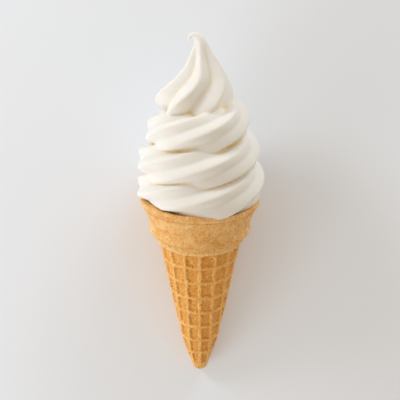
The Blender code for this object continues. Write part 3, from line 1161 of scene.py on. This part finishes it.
@dataclass
class WaferCone:
    """Moulded wafer: flared lip and cup, shoulder, plain band and waffled taper with a round tip."""

    outline: ConeOutline
    finish: WaferFinish = WaferFinish()

    # Radius and height down the outside of the cup, from the lip to the band
    cup: tuple[Point, ...] = (
        (28.75 * MM, 0.0 * MM),
        (28.5 * MM, -0.7 * MM),
        (27.75 * MM, -1.2 * MM),
        (27.1 * MM, -2.7 * MM),
        (26.0 * MM, -5.5 * MM),
        (24.7 * MM, -9.5 * MM),
        (24.3 * MM, -11.6 * MM),
        (24.75 * MM, -13.4 * MM),
        (24.4 * MM, -14.7 * MM),
        (23.2 * MM, -15.8 * MM),
        (21.2 * MM, -16.6 * MM),
    )
    # Corners down from the cup: the band and the top of the taper below it
    band_corners: tuple[Point, ...] = (
        (21.35 * MM, -17.2 * MM),
        (21.35 * MM, -19.3 * MM),
        (21.10 * MM, -19.8 * MM),
    )
    # Corners up from the cup, over the rim and into the cone
    rim_corners: tuple[Point, ...] = (
        (28.90 * MM, 0.8 * MM),
        (28.75 * MM, 1.3 * MM),
        (28.35 * MM, 1.5 * MM),
        (27.95 * MM, 1.5 * MM),
    )
    rim_inside: tuple[Point, ...] = (
        (27.35 * MM, 1.4 * MM),
        (27.00 * MM, 1.0 * MM),
    )
    # The rim stands a little higher on one side, and is thicker beside that
    rim_part: tuple[float, float] = (-4.0 * MM, 1.0 * MM)
    rim_rise: float = 1.1 * MM
    rise_bearing: float = math.radians(238.0)
    rise_spread: float = 0.3
    rim_thickening: float = 2.6 * MM
    thick_bearing: float = math.radians(216.0)
    thick_spread: float = 0.86
    # The waffle grid, whose upright ribs spread a little from straight as they near the tip
    ribs_around: int = 16
    ribs_along: int = 7
    rib_end: float = 0.51
    first_rib: float = -28.3 * MM
    rib_pitch: float = 9.0 * MM
    rib_width: float = 1.75 * MM
    rib_flank: float = 0.28 * MM
    rib_wear: float = 2.6 * MM
    cell_depth: float = 1.0 * MM
    cell_uneven: float = 0.5
    grid_top_fade: float = 0.6 * MM
    grid_tip_fade: float = 5.0 * MM
    spread_top: float = -24.0 * MM
    spread_length: float = 70.0 * MM
    spread_even: float = math.radians(5.0)
    spread_low: float = math.radians(26.0)
    # Crumbs stand out most on the band and the ribs, and least on the cup and in the cells
    crumb: float = 0.16 * MM
    crumb_fine: float = 2.4
    crumb_cup: float = 0.5
    crumb_ribs: float = 2.6
    crumb_band: float = 1.2
    band_fade: float = 0.5 * MM
    seed: float = 3.0
    # The finest crumbs are 0.2 to 0.5 mm, below what shows, so they are drawn as coarse as this
    grains: tuple[Grain, ...] = (
        Grain("wear across", 1.6 * MM, 3.0, shift=0.0),
        Grain("wear along", 1.4 * MM, 3.0, shift=5.0),
        Grain("cells", 4.0 * MM, 2.0, shift=9.0),
        Grain("fine crumbs", 0.9 * MM, 3.0, shift=2.0),
        Grain("crumbs", 3.2 * MM, 3.0, shift=4.0),
    )
    # Where shade is painted, and how dark: heights under the shoulder and under the lip, and
    # the flanks of the ribs as shares of a cell's depth
    shoulder_painted_shade: tuple[float, ...] = (-16.6 * MM, -16.2 * MM, -16.0 * MM, -14.0 * MM)
    shoulder_shade_strength: float = 0.8
    lip_painted_shade: tuple[float, ...] = (-2.0 * MM, -1.4 * MM, -1.2 * MM, -0.8 * MM)
    lip_shade_strength: float = 0.6
    foot_painted_shade: tuple[float, ...] = (0.1, 0.5, 0.6, 0.95)
    foot_shade_strength: float = 0.6
    # How finely the wafer is turned
    columns: int = 360
    spacing: float = 0.415 * MM
    tip_steps: int = 14
    pole: float = 0.05 * MM
    cup_steps: int = 6

    def outside(self) -> list[Vector]:
        """Trace the outer face.

        Returns:
            Radius and height of its corners, from the tip's pole to the middle of the rim.
        """
        shape = self.outline
        lowest = math.atan(shape.knee_slope)
        arc = [math.pi / 2 - (math.pi / 2 - lowest) * step / self.tip_steps
               for step in range(self.tip_steps + 1)]
        points = [Vector((max(shape.tip_radius * math.cos(a), self.pole),
                          shape.tip_centre - shape.tip_radius * math.sin(a))) for a in arc]
        points += [Vector((shape.taper(z), z)) for z in (shape.knee_height, shape.taper_top)]
        points += [Vector(corner) for corner in reversed(self.band_corners)]
        points += through(tuple(reversed(self.cup)), self.cup_steps)
        return points + [Vector(corner) for corner in self.rim_corners]

    def inside(self) -> list[Point]:
        """Trace the inner face, which the ice cream hides.

        Returns:
            Radius and height of its corners, from the rim down to the tip.
        """
        shape = self.outline
        sizes = list(self.rim_inside)
        # A few of the cup's corners are enough where nothing shows
        sizes += [(radius - shape.wall, height) for radius, height in self.cup[2:8:2]]
        sizes.append((shape.band_radius - shape.wall, shape.band_top))
        sizes.append((shape.tip_radius - shape.wall, shape.tip_centre))
        sizes.append((2 * self.pole, shape.tip_centre - shape.tip_radius + shape.wall))
        return sizes

    def blank(self) -> bpy.types.Mesh:
        """Turn the cone's blank, before the waffle grid is pressed into it.

        Returns:
            The blank, with what is its outer face stored on its points.
        """
        outer = [(p[0], p[1]) for p in evenly(self.outside(), self.spacing)]
        sizes = outer + self.inside()
        mesh = mesh_from("wafer blank", turned_points(sizes, self.columns),
                         turned_faces(len(sizes), self.columns))
        store(mesh, "outer", np.repeat(np.arange(len(sizes)) < len(outer), self.columns).astype(float))
        return mesh

    def waffle(self, shape: ShapeTree, x: Term, y: Term, z: Term, noise: dict[str, Term]) -> Term:
        """Work out where the waffle iron's cells are.

        Args:
            shape: tree that does the sums.
            x: sideways place of each point.
            y: place of each point from front to back.
            z: height of each point.
            noise: the grains, by name.

        Returns:
            A number that is 1 in a cell and 0 on a rib, as if the grid were everywhere.
        """
        bearing = x.sum("ARCTAN2", y * -1.0)
        share = ((shape.size("Spread Top", self.spread_top) - z) / self.spread_length).sum("MAXIMUM", 0.0)
        apart = (math.tau / shape.size("Ribs Around", float(self.ribs_around))
                 + share * shape.size("Even Spread", self.spread_even)
                 + share ** 3.0 * shape.size("Low Spread", self.spread_low))
        ribs = bearing / apart
        upright = (ribs - ribs.sum("ROUND")).sum("ABSOLUTE") * apart * (x * x + y * y).sum("SQRT")
        pitch = shape.size("Rib Pitch", self.rib_pitch)
        last = shape.size("Ribs Along", float(self.ribs_along)) - self.rib_end
        rows = ((shape.size("First Rib", self.first_rib) - z) / pitch).sum("MINIMUM", last)
        level = (rows - rows.sum("ROUND")).sum("ABSOLUTE") * pitch
        half = shape.size("Rib Width", self.rib_width) / 2.0
        flank = shape.size("Rib Flank", self.rib_flank)
        across = (upright + noise["wear across"] * self.rib_wear).eased(half - flank, half + flank)
        along = (level + noise["wear along"] * self.rib_wear).eased(half - flank, half + flank)
        return across * along

    def drawn_rim(self, shape: ShapeTree, x: Term, y: Term, z: Term, outer: Term) -> bpy.types.NodeSocket:
        """Work out how far the rim is drawn up on one side and thickened inwards.

        Args:
            shape: tree that does the sums.
            x: sideways place of each point.
            y: place of each point from front to back.
            z: height of each point.
            outer: 1 on the outer face and 0 on the inner.

        Returns:
            The move of each point.
        """
        bearing = y.sum("ARCTAN2", x)
        near = z.eased(*self.rim_part)
        towards = (bearing - shape.size("Rise Bearing", self.rise_bearing)).sum("COSINE")
        rise = towards.eased(self.rise_spread, 1.0) * near * shape.size("Rim Rise", self.rim_rise)
        towards = (bearing - shape.size("Thick Bearing", self.thick_bearing)).sum("COSINE")
        thicker = (towards.eased(self.thick_spread, 1.0) * near * (1.0 - outer)
                   * shape.size("Thickening", self.rim_thickening) / (x * x + y * y).sum("SQRT"))
        drawn = shape.add("ShaderNodeCombineXYZ", {0: x * thicker * -1.0, 1: y * thicker * -1.0, 2: rise})
        return drawn.outputs[0]

    def press(self, material: bpy.types.Material) -> bpy.types.Mesh:
        """Press the waffle grid into the blank and roughen the baked skin.

        Args:
            material: the baked wafer.

        Returns:
            The pressed cone, with the marks that its finish reads stored on its points.
        """
        shape = ShapeTree("waffle iron")
        here = shape.add("GeometryNodeInputPosition").outputs[0]
        split = shape.add("ShaderNodeSeparateXYZ", {0: here})
        x, y, z = (shape.term(output) for output in split.outputs)
        outer = shape.term(shape.add("GeometryNodeInputNamedAttribute", {"Name": "outer"},
                                     data_type="FLOAT").outputs["Attribute"])
        seed = shape.size("Seed", self.seed)
        noise: dict[str, Term] = {}
        for grain in self.grains:
            node = shape.add("ShaderNodeTexNoise", {
                "Vector": here, "W": seed + grain.shift, "Scale": 1.0 / grain.size,
                "Detail": grain.detail, "Roughness": grain.roughness}, noise_dimensions="4D")
            noise[grain.name] = shape.term(node.outputs[0]) - 0.5
        taper_top, tip = -self.outline.taper_top, self.outline.tip_centre
        waffled = (z * -1.0).eased(taper_top, taper_top + self.grid_top_fade)
        waffled = waffled * z.eased(tip, tip + self.grid_tip_fade) * outer
        pressed = self.waffle(shape, x, y, z, noise)
        cell = pressed * waffled
        rib = (1.0 - pressed) * waffled
        dip = cell * shape.size("Cell Depth", self.cell_depth) * (1.0 + noise["cells"] * self.cell_uneven)
        band_top = -self.outline.band_top
        plain = (z * -1.0).eased(band_top, band_top + self.band_fade)
        band = plain * (1.0 - waffled) * outer * z.eased(tip, self.outline.band_bottom)
        crumbly = self.crumb_cup + (self.crumb_ribs + band * self.crumb_band) * plain * (1.0 - cell)
        rough = noise["fine crumbs"] * self.crumb_fine + noise["crumbs"]
        rough = rough * shape.size("Crumb", self.crumb)
        push = (rough * crumbly - dip) * outer
        normal = shape.add("GeometryNodeInputNormal").outputs[0]
        pushed = shape.add("ShaderNodeVectorMath", {0: normal, "Scale": push}, operation="SCALE")
        drawn = self.drawn_rim(shape, x, y, z, outer)
        shift = shape.add("ShaderNodeVectorMath", {0: pushed.outputs[0], 1: drawn}, operation="ADD")
        kept = shape.add("GeometryNodeSetPosition", {
            "Geometry": shape.entry.outputs["Geometry"], "Offset": shift.outputs[0]}).outputs[0]
        # Painted shade under the shoulder, in a line under the lip and at the feet of the ribs
        painted_shade = (z.hump(*self.shoulder_painted_shade) * self.shoulder_shade_strength
                 + z.hump(*self.lip_painted_shade) * self.lip_shade_strength
                 + cell.hump(*self.foot_painted_shade) * self.foot_shade_strength) * outer
        for name, value in (("cell", cell), ("rib", rib), ("band", band), ("painted_shade", painted_shade)):
            kept = shape.add("GeometryNodeStoreNamedAttribute", {
                "Geometry": kept, "Name": name, "Value": value}, data_type="FLOAT",
                domain="POINT").outputs[0]
        shape.finish(kept, material)
        return shape.run("wafer", self.blank())

    def build(self, lie: Lie) -> bpy.types.Object:
        """Build, lay down and dress the cone.

        Args:
            lie: how the whole lies on the floor.

        Returns:
            The finished piece.
        """
        material = self.finish.make()
        mesh = self.press(material)
        lie.lay(mesh)
        return dressed("moulded_wafer", mesh, material)


@dataclass(frozen=True)
class Area:
    """A soft light of the studio: place and size in metres, power in watts."""

    name: str
    place: tuple[float, float, float]
    size: float
    power: float
    colour: str

    def hang(self, target: Vector) -> None:
        """Hang the light.

        Args:
            target: what it shines at.
        """
        lamp = bpy.data.lights.new(self.name, "AREA")
        lamp.size = self.size
        lamp.energy = self.power
        lamp.color = linear(self.colour)[:3]
        holder = linked(self.name, lamp)
        holder.location = self.place
        aim = target - Vector(self.place)
        holder.rotation_euler = aim.to_track_quat("-Z", "Y").to_euler()


@dataclass
class Studio:
    """Plain pale floor, soft lights and the camera that looks down on the lying cone."""

    lie: Lie
    camera_elevation: float = math.radians(21.0)
    camera_distance: float = 0.34
    focal_length: float = 63.0
    sensor: float = 36.0
    nearest_seen: float = 0.01
    floor_size: float = 3.0
    board: BoardFinish = BoardFinish()
    sky_colour: str = "#FFF2E0"
    sky_strength: float = 0.58
    lights: tuple[Area, ...] = (
        Area("key", (-0.52, 0.45, 0.31), 0.20, 1.85, "#EEF7FF"),
        Area("top right", (0.38, 0.80, 0.28), 0.35, 2.2, "#EAF5FF"),
        Area("left", (-0.44, -0.36, 0.15), 0.30, 1.30, "#F0F6FF"),
    )

    def lay_floor(self) -> bpy.types.Object:
        """Lay the floor.

        Returns:
            The floor, dressed.
        """
        half = self.floor_size / 2
        corners = np.array([(-half, -half, 0.0), (half, -half, 0.0),
                            (half, half, 0.0), (-half, half, 0.0)])
        return dressed("floor", mesh_from("floor", corners, [(0, 1, 2, 3)]), self.board.make())

    def light(self) -> None:
        """Hang the lights and set the sky."""
        world = bpy.data.worlds.new("studio")
        world.use_nodes = True
        sky = world.node_tree.nodes["Background"]
        sky.inputs["Color"].default_value = linear(self.sky_colour)
        sky.inputs["Strength"].default_value = self.sky_strength
        bpy.context.scene.world = world
        for area in self.lights:
            area.hang(self.lie.origin)

    def set_camera(self) -> None:
        """Set the camera above, at the height of the eye of someone who holds the cone upright."""
        lens = bpy.data.cameras.new("camera")
        lens.sensor_width = self.sensor
        lens.lens = self.focal_length
        lens.clip_start = self.nearest_seen
        camera = linked("camera", lens)
        turn = self.lie.tilt - self.camera_elevation
        camera.rotation_euler = (turn, 0.0, 0.0)
        away = Vector((0.0, -math.sin(turn), math.cos(turn))) * self.camera_distance
        camera.location = self.lie.origin + away
        bpy.context.scene.camera = camera

    def build(self) -> bpy.types.Object:
        """Set up the whole studio.

        Returns:
            Its floor.
        """
        self.light()
        self.set_camera()
        bpy.context.scene.view_settings.view_transform = "Standard"
        return self.lay_floor()


def report(piece: bpy.types.Object) -> None:
    """Log a finished piece.

    Args:
        piece: object whose faces and size are told.
    """
    size = ", ".join(f"{value / MM:.1f}" for value in piece.dimensions)
    LOG.info("%s: %d faces, %s mm", piece.name, len(piece.data.polygons), size)


def main() -> None:
    logging.basicConfig(level=logging.INFO, format="%(name)s: %(message)s")
    outline = ConeOutline()
    lie = Lie(outline)
    swirl = SoftServe().build(lie)
    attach(swirl, BODY)
    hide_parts(Node.SOFT_SERVE.value)
    report(swirl)
    cone = WaferCone(outline).build(lie)
    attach(cone, BODY)
    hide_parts(Node.WAFER_CONE.value)
    report(cone)
    floor = Studio(lie).build()
    report(floor)


if __name__ == "__main__":
    main()
